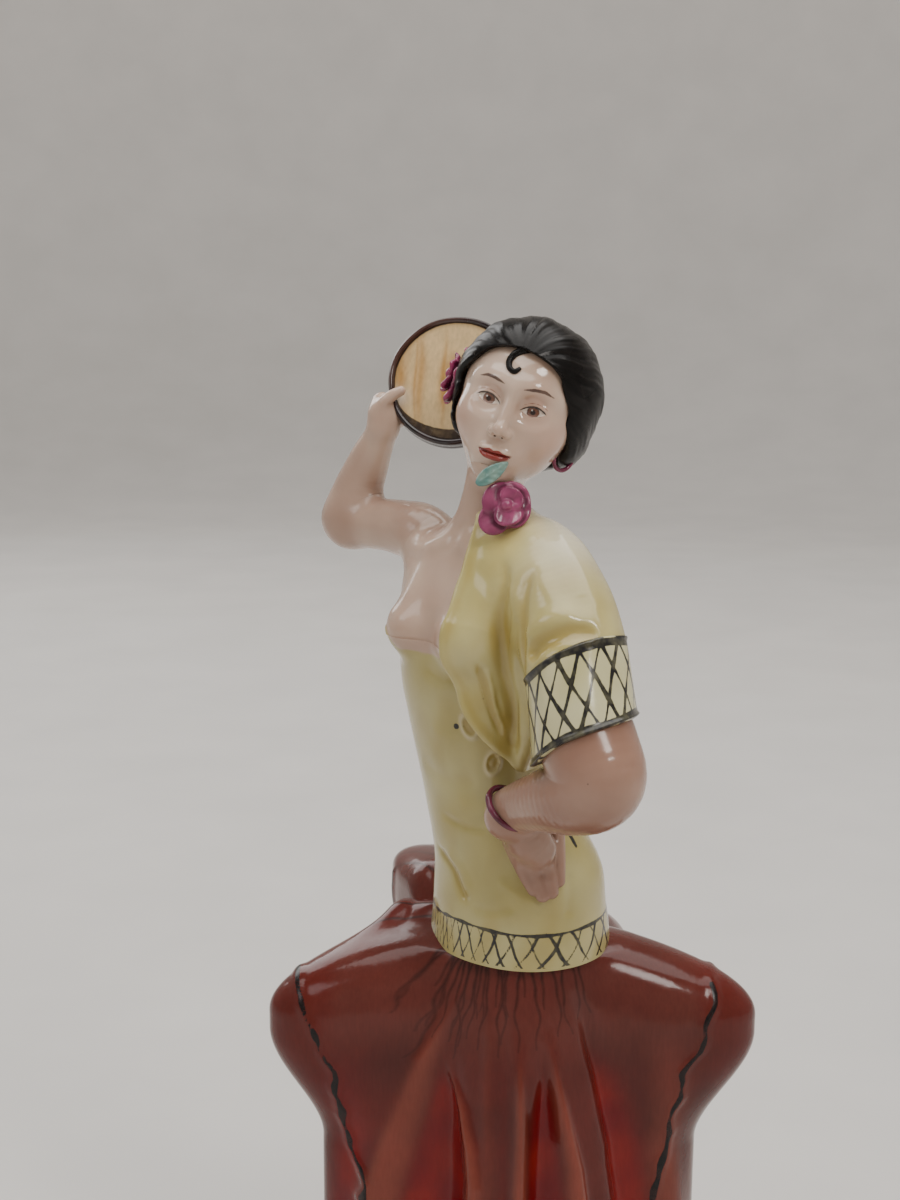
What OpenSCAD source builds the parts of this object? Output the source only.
// Porcelain souvenir figurine: a dancer in a swirling red skirt and a pale yellow bodice,
// one hand on her hip and the other holding a tambourine behind her head.
// The pieces are the separately cast, separately coloured parts that are luted together.
// Z is up, the origin is the middle of the plinth's underside, -Y is the front. Millimetres.
// Left and right in the names of pieces are as seen from the front.

/* [Plinth] */
// Radius of the plinth at its foot
plinth_r = 46; // [46:1:52]
// Height of the plinth
plinth_h = 12; // [10:1:14]
// Radius of the firing vent through the plinth
vent_r = 4; // [3:0.5:6]

/* [Skirt] */
// Height of the skirt's waist above the table
skirt_top = 116.5; // [114:0.5:118]
// Radius of the skirt where it stands on the plinth
hem_r = 35; // [33:1:38]
// Thickness of the cast wall
wall = 3; // [2:0.5:4]
// Depth of the folds, as a share of their full depth
pleat = 1; // [0:0.1:1.2]

/* [Figure] */
// Turn of the body from the front towards her right
body_yaw = 50; // [35:5:60]
// Height of the cut between bodice and bare shoulders
neckline_z = 170; // [168:1:172]
// Height of the cut between neck and head
neck_cut_z = 196; // [195:0.5:197]
// Sideways lean of the head
head_roll = 17; // [8:1:22]
// Turn of the head towards her right
head_yaw = 15; // [0:5:25]

/* [Tambourine] */
// Outer radius of the tambourine
drum_r = 11.6; // [10:0.2:13]
// Depth of its frame
drum_depth = 3.2; // [2.4:0.2:4]
// Thickness of the frame's wall
drum_wall = 0.9; // [0.7:0.1:1.4]

/* [Hidden] */

skin_colour = "#e6cfc2";
yellow_colour = "#e6dfa8";
red_colour = "#7c1b17";
black_colour = "#1f1c1e";
magenta_colour = "#8c2458";
teal_colour = "#74aaa2";
drumskin_colour = "#dcc48c";
cream_colour = "#efe8d8";

deck_r = 24;                     // the plinth is open to the hollow skirt inside this radius
side = 24;                       // points round a lofted section
big = 200;                       // larger than the figurine
her_left = [cos(body_yaw), -sin(body_yaw), 0];
her_front = [-sin(body_yaw), -cos(body_yaw), 0];

// ---- general shapes ------------------------------------------------------------------

function unit(v) = v / norm(v);
function clamp01(t) = max(0, min(1, t));
function ease(t) = let (u = clamp01(t)) u * u * (3 - 2 * u);
function mix(a, b, t) = a + (b - a) * t;
function turn(a, b) = (a - b + 540) % 360 - 180;      // signed angle between two directions

// An ellipse of points about c, in the plane of the unit vectors u and v
function ring(c, u, v, ru, rv, n = side) =
    [for (k = [0:n - 1]) c + ru * cos(360 * k / n) * u + rv * sin(360 * k / n) * v];

// Joins each ring to the next with a convex segment
module loft(rings) {
    for (i = [0:len(rings) - 2])
        hull() polyhedron(points = concat(rings[i], rings[i + 1]),
                          faces = [[for (k = [0:len(rings[i]) + len(rings[i + 1]) - 1]) k]]);
}

// A limb follows stations [x, y, z, radius], round in section and square to its path
function station_dir(s, i) =
    let (a = s[max(i - 1, 0)], b = s[min(i + 1, len(s) - 1)])
    unit([b[0] - a[0], b[1] - a[1], b[2] - a[2]]);
function limb_rings(s, n = side) =
    [for (i = [0:len(s) - 1])
        let (d = station_dir(s, i), u = unit(cross(d, [0.31, 0.95, 0])), v = cross(u, d))
        ring([s[i][0], s[i][1], s[i][2]], u, v, s[i][3], s[i][3], n)];

// Everything between two heights
module slab(z0, z1) {
    translate([-big / 2, -big / 2, z0]) cube([big, big, z1 - z0]);
}

// Everything on the side of the plane through p that n points to
module half_space(p, n) {
    d = unit(n);
    translate(p) rotate([0, acos(d[2]), atan2(d[1], d[0])])
        translate([-big / 2, -big / 2, 0]) cube([big, big, big]);
}

// ---- plinth ----------------------------------------------------------------------------

module base_plinth() {
    foot_w = 6;
    dish = 1.2;                  // the unglazed foot ring stands this far below the dished floor
    rim = plinth_r - 5.6;        // radius of the hollow
    color(cream_colour)
        rotate_extrude($fn = 96)
            polygon([[vent_r, dish], [plinth_r - foot_w, dish], [plinth_r - foot_w, 0],
                     [plinth_r - 0.8, 0], [plinth_r, 0.8], [plinth_r, 3.2],
                     [plinth_r - 0.6, 4], [plinth_r - 2, 4.6], [plinth_r - 2.6, 6.4],
                     [plinth_r - 2.6, plinth_h - 2.4], [plinth_r - 3.2, plinth_h - 0.8],
                     [plinth_r - 4.6, plinth_h], [deck_r, plinth_h],
                     [deck_r, plinth_h - wall], [rim - 0.6, plinth_h - wall],
                     [rim, plinth_h - wall - 0.6], [rim, dish + wall + 0.6],
                     [rim - 0.6, dish + wall], [vent_r, dish + wall]]);
}

// ---- skirt -----------------------------------------------------------------------------

// Each wing is [direction, reach, height of its tip, angular half-width, reach at the knee,
// how far its crest is turned up]
wings = [[182, 43.2, 103.5, 26, 34, 0], [-6, 40.5, 104, 27, 31, 0], [115, 45, 111, 22, 31, 6],
         [58, 39, 100, 22, 31, 0]];
// Each fold is a valley: [direction, angular half-width, depth, height where it starts]
folds = [[-148, 8, 2.4, 104], [-115, 8, 3.4, 112], [-79, 7, 3.2, 110], [-50, 8, 2.8, 112],
         [28, 8, 3, 104], [86, 8, 3, 106], [148, 8, 3, 104]];
waist_ring = [[1, 1], 14.6, 13.2];       // centre, half-width and half-depth of the waist

skirt_floor = plinth_h;
function fall(z) = (skirt_top - z) / (skirt_top - skirt_floor);      // 0 at the waist, 1 at the hem
function skirt_centre(z) = mix(waist_ring[0], [0, 0], ease(fall(z)));

// The bell without wings or folds
function bell_r(dir, z) =
    let (f = fall(z),
         c = cos(dir + body_yaw), s = sin(dir + body_yaw),
         r0 = 1 / sqrt(pow(c / waist_ring[1], 2) + pow(s / waist_ring[2], 2)))
    r0 + 8 * pow(clamp01(f / 0.5), 0.8) + (hem_r - r0 - 8) * pow(clamp01((f - 0.3) / 0.7), 2);

// How far a wing reaches out past the bell: a crest that falls from waist to tip,
// a rounded end, and a fin that runs down into the hem
function wing_r(w, dir, z) =
    let (over = clamp01((z - w[2]) / (skirt_top - w[2] + 2)),
         out = mix(w[1], w[4], ease((w[2] - 3 - z) / 20)) - bell_r(dir, z),
         down = 1 - ease((w[2] - 36 - z) / 52),
         spread = w[3] * (1 - 0.2 * ease((z - 70) / 30)))
    max(0, out) * (1 - over * over) * down * exp(-pow(turn(dir, w[0]) / spread, 2));

function fold_r(dir, z) =
    let (ripple = 1.3 * pow(clamp01(fall(z)), 3) * cos(15 * dir + 40))
    pleat * (ripple - norm([for (f = folds)
        f[2] * ease((f[3] - z) / 22) * exp(-pow(turn(dir, f[0]) / f[1], 2))]));

function skirt_r(dir, z) =
    bell_r(dir, z) + fold_r(dir, z) + norm([for (w = wings) wing_r(w, dir, z)]);

// Heights of the rows, closest where the wings' crests fall away
skirt_rows = [12, 16, 22, 30, 39, 48, 57, 66, 74, 81, 87, 92, 96, 99.5, 102.5, 105.5, 108,
              110, 112, 113.6, 115, skirt_top];
skirt_step = 5;                           // degrees between columns

function lift(dir, z) =
    ease((z - 92) / 14) * max([for (w = wings) w[5] * ease(wing_r(w, dir, z) / 12)]);

function skirt_point(dir, z, inward) =
    let (c = skirt_centre(z), r = skirt_r(dir, z) - inward)
    [c[0] + r * cos(dir), c[1] + r * sin(dir), z + lift(dir, z) * (inward > 0 ? 0.5 : 1)];

// A sector of the hollow skirt from direction a0 to a1, a closed shell of the cast wall
module skirt_sector(a0, a1) {
    cols = round((a1 - a0) / skirt_step) + 1;
    rows = len(skirt_rows);
    layer = cols * rows;
    points = [for (inward = [0, 1], i = [0:cols - 1], z = skirt_rows)
        let (dir = a0 + i * skirt_step,
             thin = inward == 0 ? 0 : max(wall, 0.55 * norm([for (w = wings) wing_r(w, dir, z)])))
        skirt_point(dir, z, thin)];
    function at(l, i, j) = l * layer + i * rows + j;
    outer = [for (i = [0:cols - 2], j = [0:rows - 2])
        each [[at(0, i, j), at(0, i + 1, j + 1), at(0, i + 1, j)],
              [at(0, i, j), at(0, i, j + 1), at(0, i + 1, j + 1)]]];
    inner = [for (i = [0:cols - 2], j = [0:rows - 2])
        each [[at(1, i, j), at(1, i + 1, j), at(1, i + 1, j + 1)],
              [at(1, i, j), at(1, i + 1, j + 1), at(1, i, j + 1)]]];
    rims = [for (i = [0:cols - 2], j = [0, rows - 1])
        let (q = [at(0, i, j), at(0, i + 1, j), at(1, i + 1, j), at(1, i, j)])
        each j == 0 ? [[q[0], q[1], q[2]], [q[0], q[2], q[3]]]
                    : [[q[2], q[1], q[0]], [q[3], q[2], q[0]]]];
    ends = [for (i = [0, cols - 1], j = [0:rows - 2])
        let (q = [at(0, i, j), at(1, i, j), at(1, i, j + 1), at(0, i, j + 1)])
        each i == 0 ? [[q[0], q[1], q[2]], [q[0], q[2], q[3]]]
                    : [[q[2], q[1], q[0]], [q[3], q[2], q[0]]]];
    color(red_colour) polyhedron(points = points, faces = concat(outer, inner, rims, ends));
}

module skirt_front() { skirt_sector(-145, -45); }
module skirt_wing_right() { skirt_sector(-45, 30); }
module skirt_back_right() { skirt_sector(30, 85); }
module skirt_back_left() { skirt_sector(85, 145); }
module skirt_wing_left() { skirt_sector(145, 215); }

// The toe of a shoe that shows below the front hem
module front_shoe() {
    toe = [[-6, -28, 15, 3], [-6.4, -30, 15, 3.6], [-6.8, -32, 14.8, 3.8],
           [-7.2, -34, 14.6, 3.8], [-7.5, -36, 14.3, 3.5], [-7.8, -37.8, 14, 3],
           [-8, -39.2, 13.7, 2.4], [-8.2, -40.2, 13.4, 1.7], [-8.3, -40.8, 13.2, 0.9]];
    color(black_colour)
        difference() {
            loft(limb_rings(toe, 16));
            slab(0, plinth_h);
            skirt_solid(0.02);
        }
}

// The skirt's outer form without its hollow, used to trim what meets it
module skirt_solid(grow = 0) {
    rows = [12, 16, 22];
    cols = 360 / skirt_step;
    polyhedron(
        points = [for (z = rows, k = [0:cols - 1]) skirt_point(k * skirt_step, z, -grow)],
        faces = concat([[for (k = [0:cols - 1]) k]],
            [[for (k = [cols - 1:-1:0]) k + 2 * cols]],
            [for (j = [0, 1], k = [0:cols - 1])
                let (n = (k + 1) % cols)
                [j * cols + k, (j + 1) * cols + k, (j + 1) * cols + n, j * cols + n]]));
}

// ---- torso -----------------------------------------------------------------------------

// Sections of the torso: [x, y, z, half-width, half-depth]
torso_sections = [
    [1, 1, 116.5, 15.8, 14.2], [1, 1, 119, 15.6, 14], [0.9, 1, 123, 15.2, 13.6],
    [0.5, 1, 130, 14.9, 12.9], [-1.2, 1, 136, 13.8, 11.8], [-3.6, 0.8, 142, 12.4, 10.6],
    [-5.2, 0.4, 149, 12.1, 10.2], [-6, 0, 156, 13.1, 10.6], [-6.3, 0, 163, 14.3, 11],
    [-6.3, 0.2, 170, 15.2, 10.8], [-6, 0.4, 176, 16.2, 10.2], [-5.4, 0.8, 181, 16.4, 8.8],
    [-5, 0.8, 184.5, 13.6, 7.4], [-4.9, 0.5, 187, 8.6, 6], [-4.8, 0.1, 189.5, 5.4, 5.2],
    [-4.2, -0.4, 193, 4.7, 4.8], [-3.4, -0.6, 197.5, 4.6, 4.8]];

function torso_rings(grow, list) =
    [for (s = list) ring([s[0], s[1], s[2]], her_left, her_front, s[3] + grow, s[4] + grow)];

module torso_form(grow = 0) {
    loft(torso_rings(grow, torso_sections));
    // each breast: [sideways, forwards, up, radius] of the balls it is stretched over
    for (m = [-1, 1])
        hull()
            for (b = [[6, 8, 171, 4.8], [5.6, 4.4, 179, 3.6], [5.2, 6, 165, 3], [1, 8, 170.6, 2],
                      [9.6, 4.6, 171, 3.4]])
                translate([-6.2, 0.2, b[2]] + b[1] * her_front + m * b[0] * her_left)
                    sphere(r = b[3] + grow, $fn = 20);
}

// The hollow left by pouring the slip out again
module torso_hollow() {
    loft(torso_rings(-wall, [for (i = [0:11]) torso_sections[i]]));
    translate([0, 0, -1]) loft(torso_rings(-wall, [for (i = [0:1]) torso_sections[i]]));
}

module bodice() {
    color(yellow_colour)
        difference() {
            intersection() {
                torso_form();
                slab(skirt_top, neckline_z);
            }
            torso_hollow();
        }
}

module shoulders_and_neck() {
    color(skin_colour)
        difference() {
            intersection() {
                torso_form();
                slab(neckline_z, neck_cut_z);
            }
            torso_hollow();
            head_form();
        }
}

// ---- head ------------------------------------------------------------------------------

head_centre = [1.0, -0.4, 208.2];
hair_t = 1.8;                    // thickness of the hair over the skull
module in_head() {
    translate(head_centre) rotate([0, head_roll, 0]) rotate([0, 0, -head_yaw]) children();
}

// Sections of the head, square to its own axis: [forward shift, height, half-width, half-depth]
head_sections = [
    [7.6, -13.4, 1.8, 1.4], [6.4, -12.6, 4, 3.8], [4.6, -10.6, 6.2, 6.4], [3, -7.4, 8.2, 8.6],
    [1.6, -4, 9.6, 10.1], [0.6, 0, 10.4, 11], [0, 4, 10.4, 11.2], [-0.4, 7.2, 9.2, 9.9],
    [-0.8, 9.7, 6.8, 7.4], [-1, 11.2, 3.6, 4], [-1, 11.7, 1, 1.2]];

function head_rings(grow) =
    [for (s = head_sections)
        ring([0, -s[0], s[1] + grow * sign(s[1]) * 0.6], [1, 0, 0], [0, 1, 0],
             s[2] + grow, s[3] + grow)];

module head_form(grow = 0) {
    in_head() loft(head_rings(grow));
}

module head_solid() {
    neck_stub = [[-3.5, -0.6, neck_cut_z, 4.65], [-2.6, -0.4, neck_cut_z + 3, 4.7],
                 [-1.6, 0, neck_cut_z + 6, 4.8]];
    head_form();
    loft([for (s = neck_stub) ring([s[0], s[1], s[2]], her_left, her_front, s[3], s[3])]);
    in_head() {
        hull() {
            translate([0, -9.6, 2.4]) sphere(r = 1.1, $fn = 16);
            translate([0, -11.6, -2.6]) sphere(r = 1.2, $fn = 16);
            for (m = [-1, 1])
                translate([m * 1.1, -10.8, -3]) sphere(r = 1, $fn = 16);
        }
        for (m = [-1, 1])
            hull() {
                translate([m * 10.2, 0.6, -1]) sphere(r = 1.3, $fn = 16);
                translate([m * 10.2, 2.2, 0]) sphere(r = 1.5, $fn = 16);
                translate([m * 9.6, 0.4, -4.6]) sphere(r = 1, $fn = 16);
            }
    }
}

module head() {
    color(skin_colour) head_solid();
}

// The line where hair meets face is the edge of a slanted window through the hair
module face_window() {
    in_head() loft([for (s = [[-14, 7.4, 7], [-10, 8.6, 9], [-5, 9.3, 11], [0, 9.2, 13],
                              [3, 8.4, 14], [5, 7, 14], [6.6, 5.2, 14], [7.4, 3.2, 14],
                              [7.8, 1.2, 14]])
        ring([0, -11 - s[2] / 3, s[0]], [1, 0, 0], [0, 1, 0], s[1], s[2])]);
}

module hair_cap() {
    color(black_colour)
        difference() {
            intersection() {
                head_form(hair_t);
                in_head() half_space([0, -4, -9.5], [0, 0.55, 1]);
            }
            head_form();
            face_window();
        }
}

// A low knot of hair at the nape
module hair_bun() {
    knot = [[-5.4, 1.2], [-4.6, 3], [-3.4, 4.2], [-1.8, 5], [0, 5.3], [1.8, 5], [3.4, 4.2],
            [4.6, 3], [5.4, 1.2]];
    color(black_colour)
        difference() {
            in_head() translate([0, 12.4, -5.2])
                loft([for (s = knot) ring([s[0], 0, 0], [0, 1, 0], [0, 0, 1], s[1] * 0.85, s[1])]);
            head_form(hair_t);
        }
}

// Petals as a whorl of small pads round a heart
module blossom(petals, reach, pad, thick) {
    sphere(r = pad * 0.8, $fn = 12);
    for (i = [0:petals - 1])
        rotate([0, 0, i * 360 / petals])
            hull() {
                translate([reach * 0.2, 0, 0]) sphere(r = thick, $fn = 10);
                translate([reach, pad * 0.45, thick * 0.3]) sphere(r = thick, $fn = 10);
                translate([reach, -pad * 0.45, -thick * 0.3]) sphere(r = thick, $fn = 10);
            }
}

module hair_flower() {
    color(magenta_colour)
        difference() {
            in_head() translate([-11.2, 3.2, 0.4]) rotate([0, -78, 0])
                blossom(8, 3.4, 2.6, 1.1);
            head_form(hair_t);
        }
}

module earring() {
    color(magenta_colour)
        difference() {
            in_head() translate([9.7, 0.6, -6.9]) rotate([90, 12, 80])
                rotate_extrude($fn = 32) translate([1.6, 0]) circle(r = 0.4, $fn = 12);
            head_solid();
        }
}

// ---- shawl and sleeve ---------------------------------------------------------------------

shawl_t = 1.6;
cuff_top = [8.2, -21.4, 170.8];
cuff_end = [9.4, -26.2, 159.6];
arm_dir = unit(cuff_end - cuff_top);
cuff_normal = [0.38, -0.25, -0.88];      // the cuff's edges are cut on a slant, lowest at the inside

// The part of the torso's skin that the shawl covers, from the neck down to a point at the waist
module shawl_cover() {
    half_space([-6.6, -4.4, 186], her_left + [0, 0, 0.3]);
}

module shawl_skin() {
    difference() {
        intersection() {
            loft(torso_rings(shawl_t, [for (i = [5:14]) torso_sections[i]]));
            shawl_cover();
        }
        torso_form();
    }
}

module shawl_front() {
    color(yellow_colour)
        difference() {
            shawl_skin();
            half_space([-5, 0.6, 150], -her_front);
        }
}

module shawl_back() {
    color(yellow_colour)
        difference() {
            shawl_skin();
            half_space([-5, 0.6, 150], her_front);
        }
}

sleeve_stations = [[-1.4, -4.6, 186.2, 3.2], [1, -6.4, 185.6, 4.6], [2.6, -8.4, 184.8, 5.8],
                   [4.2, -11.2, 182.8, 7], [5.4, -14, 180, 7.8], [6.6, -16.8, 177, 8.1],
                   [7.4, -19.2, 174, 8.2], [cuff_top[0], cuff_top[1], cuff_top[2], 8.2],
                   [cuff_top[0] + 4 * arm_dir[0], cuff_top[1] + 4 * arm_dir[1],
                    cuff_top[2] + 4 * arm_dir[2], 8.2]];

module sleeve() {
    color(yellow_colour)
        difference() {
            loft(limb_rings(sleeve_stations));
            half_space(cuff_top, cuff_normal);
            loft(torso_rings(shawl_t, [for (i = [5:14]) torso_sections[i]]));
            torso_form();
        }
}

module sleeve_cuff() {
    reach = 5;                   // the blank runs on this far past both cuts
    h = norm(cuff_end - cuff_top) + 2 * reach;
    color(yellow_colour)
        difference() {
            translate(cuff_top - reach * arm_dir)
                rotate([0, acos(arm_dir[2]), atan2(arm_dir[1], arm_dir[0])]) {
                difference() {
                    cylinder(r1 = 8.35, r2 = 8.75, h = h, $fn = 64);
                    translate([0, 0, h - reach - 4]) cylinder(r = 7.3, h = h, $fn = 64);
                }
            }
            half_space(cuff_top, -1 * cuff_normal);
            half_space(cuff_end, cuff_normal);
        }
}

// ---- the arm on the hip ---------------------------------------------------------------------

elbow = [11.6, -30, 153.6];
wrist = [-1.8, -16.8, 145.2];
forearm_top = cuff_end - 2.8 * arm_dir;   // the arm is seated this far up inside the cuff
forearm_stations = [
    [forearm_top[0] - 0.3, forearm_top[1] + 1, forearm_top[2] + 2, 7.1],
    [cuff_end[0], cuff_end[1], cuff_end[2], 7.2], [10.8, -28.8, 156.8, 7.4],
    [elbow[0], elbow[1], elbow[2], 7.1], [9.8, -29.2, 151.8, 6.4], [6.8, -26.2, 150, 5.8],
    [3.6, -22.8, 148.4, 5.1], [1, -19.6, 146.8, 4.2], [wrist[0], wrist[1], wrist[2], 3.3]];

module hip_forearm() {
    color(skin_colour)
        difference() {
            loft(limb_rings(forearm_stations));
            half_space(forearm_top, -1 * arm_dir);
            torso_form();
        }
}

module bangle() {
    d = unit(wrist - [1, -19.6, 146.6]);
    color(magenta_colour)
        translate(wrist - 1 * d) rotate([0, acos(d[2]), atan2(d[1], d[0])])
            rotate_extrude($fn = 48) translate([3.95, 0]) circle(r = 0.45, $fn = 16);
}

// Each finger is a list of stations from the knuckle to the tip
hip_palm = [[wrist[0], wrist[1], wrist[2], 3.1], [-0.6, -15.9, 142, 3.4], [1.4, -15, 138, 3.6],
            [3, -14.4, 135, 3.3]];
hip_fingers = [[[1.2, -15, 136, 1.5], [1.6, -14.6, 132.6, 1.4], [2.6, -14.2, 129.6, 1.2]],
               [[3, -14.2, 135.6, 1.6], [4.2, -13.8, 131.6, 1.4], [5.4, -13.2, 128.6, 1.2]],
               [[4.8, -13.4, 136, 1.6], [6.6, -12.6, 132.4, 1.4], [8, -11.8, 129.8, 1.2]]];

module hip_hand() {
    color(skin_colour)
        difference() {
            union() {
                loft(limb_rings(hip_palm, 16));
                for (f = hip_fingers)
                    loft(limb_rings(f, 12));
            }
            half_space(wrist, wrist - hip_wrist_end());
            torso_form();
        }
}
function hip_wrist_end() = [hip_palm[1][0], hip_palm[1][1], hip_palm[1][2]];

// ---- the raised arm and the tambourine ---------------------------------------------------------

drum_centre = [-10.4, 18.4, 210.6];
drum_tilt = 24;                          // the drum looks up at the front
drum_turn = -12;                         // and a little towards her right
drum_x = [cos(drum_turn), sin(drum_turn), 0];
drum_z = [sin(drum_turn) * cos(drum_tilt), -cos(drum_turn) * cos(drum_tilt), sin(drum_tilt)];
drum_y = cross(drum_z, drum_x);
// Stations given across, up and out of the drum's face, as stations in the figurine's frame
function on_drum(list) =
    [for (s = list) let (p = drum_centre + s[0] * drum_x + s[1] * drum_y + s[2] * drum_z)
        [p[0], p[1], p[2], s[3]]];
module in_drum() {
    translate(drum_centre) rotate([0, 0, drum_turn]) rotate([90 - drum_tilt, 0, 0]) children();
}

// The frame is a turned ring with a rebate that the skin sits in
skin_t = 0.9;
skin_inset = 0.2;
module tambourine_frame() {
    inner = drum_r - drum_wall;
    seat = inner - 0.8;
    color(black_colour)
        in_drum() rotate_extrude($fn = 96)
            polygon([[seat, -drum_depth], [drum_r - 0.2, -drum_depth],
                     [drum_r, -drum_depth + 0.3], [drum_r, -0.3], [drum_r - 0.2, 0],
                     [inner, 0], [inner, -skin_inset - skin_t], [seat, -skin_inset - skin_t]]);
}

module tambourine_skin() {
    color(drumskin_colour)
        in_drum() translate([0, 0, -skin_inset - skin_t])
            cylinder(r = drum_r - drum_wall, h = skin_t, $fn = 96);
}

grip_palm = on_drum([[-12.2, -8.2, -2.2, 2.5], [-12.2, -6.8, -2, 2.6], [-12.4, -5.4, -1.9, 2.5],
                     [-12.6, -4, -1.9, 1.9]]);
grip_fingers = [
    on_drum([[-12.6, -5.8, -0.8, 1.4], [-11.4, -4.6, 1, 1.2], [-8.8, -2.8, 1.3, 1]]),
    on_drum([[-12.6, -3.8, -3, 1.3], [-11.6, -2.4, -4.5, 1.15], [-8.2, -1, -4.6, 0.95]]),
    on_drum([[-12.4, -5, -3, 1.3], [-11.2, -4.2, -4.6, 1.15], [-7.4, -3.2, -4.7, 0.95]]),
    on_drum([[-12.2, -6.6, -3, 1.3], [-10.8, -6.2, -4.5, 1.15], [-7.4, -5.6, -4.6, 0.95]])];
raised_wrist = [for (k = [0:2]) grip_palm[0][k]];

module raised_hand() {
    color(skin_colour)
        difference() {
            union() {
                loft(limb_rings(grip_palm, 16));
                for (f = grip_fingers)
                    loft(limb_rings(f, 12));
            }
            half_space(raised_wrist, raised_elbow - raised_wrist);
            in_drum() translate([0, 0, -drum_depth]) cylinder(r = drum_r, h = drum_depth, $fn = 96);
        }
}

raised_elbow = [-28.8, 26.8, 185.2];
raised_shoulder = [-11.6, 9.9, 180.6];
upper_arm_stations = [
    [raised_shoulder[0], raised_shoulder[1], raised_shoulder[2], 4.8], [-13.8, 12.1, 182.8, 5.4],
    [-16, 14.4, 184.4, 5.3], [-18.6, 16.9, 184.9, 4.9], [-21.4, 19.4, 185.1, 4.6],
    [-25, 22.9, 185.2, 4.45],
    [raised_elbow[0], raised_elbow[1], raised_elbow[2], 4.5], [-30.4, 28.4, 185.3, 3.7],
    [-31.4, 29.4, 185.4, 2.2]];
raised_forearm_stations = [
    [-28.9, 27, 180.8, 2.4], [-28.9, 26.9, 182.4, 3.9], [raised_elbow[0], raised_elbow[1], raised_elbow[2], 4.5],
    [-28.4, 26.3, 187.8, 4.5], [-27.4, 25.5, 190.8, 4.3], [-26.1, 24.4, 194, 3.9],
    [-24.8, 23, 197.2, 3.4], [-23.6, 21.6, 199.8, 2.9],
    [-23, 20.8, 201.4, 2.6], [raised_wrist[0], raised_wrist[1], raised_wrist[2], 2.5]];

// The forearm's share of the elbow, above the plane that halves its bend
module elbow_side() {
    half_space(raised_elbow,
               unit(raised_wrist - raised_elbow) - unit(raised_shoulder - raised_elbow));
}

module raised_upper_arm() {
    color(skin_colour)
        difference() {
            loft(limb_rings(upper_arm_stations));
            torso_form();
            elbow_side();
        }
}

module raised_forearm() {
    color(skin_colour)
        intersection() {
            loft(limb_rings(raised_forearm_stations));
            elbow_side();
            half_space(raised_wrist, raised_elbow - raised_wrist);
        }
}

// ---- flowers -----------------------------------------------------------------------------

module shoulder_rose() {
    color(magenta_colour)
        difference() {
            translate([-2.6, -13, 192]) rotate([62, 0, -8]) blossom(8, 3, 2.8, 1.4);
            loft(torso_rings(shawl_t, [for (i = [5:14]) torso_sections[i]]));
            torso_form();
            loft(limb_rings(sleeve_stations));
            head_form();
        }
}

module rose_leaf() {
    blade = [[-5.6, -12.4, 195.2, 0.4], [-5.2, -12.5, 195.9, 0.8], [-4.8, -12.5, 196.6, 1],
             [-4.3, -12.6, 197.3, 1.1], [-3.8, -12.6, 198, 1], [-3.4, -12.6, 198.6, 0.8],
             [-3, -12.5, 199.2, 0.6], [-2.7, -12.4, 199.7, 0.4], [-2.5, -12.4, 200, 0.2]];
    color(teal_colour)
        difference() {
            loft(limb_rings(blade, 10));
            head_form();
            translate([-2.6, -13, 192]) rotate([62, 0, -8]) blossom(8, 3, 2.8, 1.4);
        }
}

base_plinth();
skirt_front();
skirt_wing_right();
skirt_wing_left();
skirt_back_right();
skirt_back_left();
front_shoe();
bodice();
shoulders_and_neck();
head();
hair_cap();
hair_bun();
hair_flower();
earring();
shawl_front();
shawl_back();
sleeve();
sleeve_cuff();
hip_forearm();
hip_hand();
bangle();
raised_upper_arm();
raised_forearm();
raised_hand();
tambourine_frame();
tambourine_skin();
shoulder_rose();
rose_leaf();
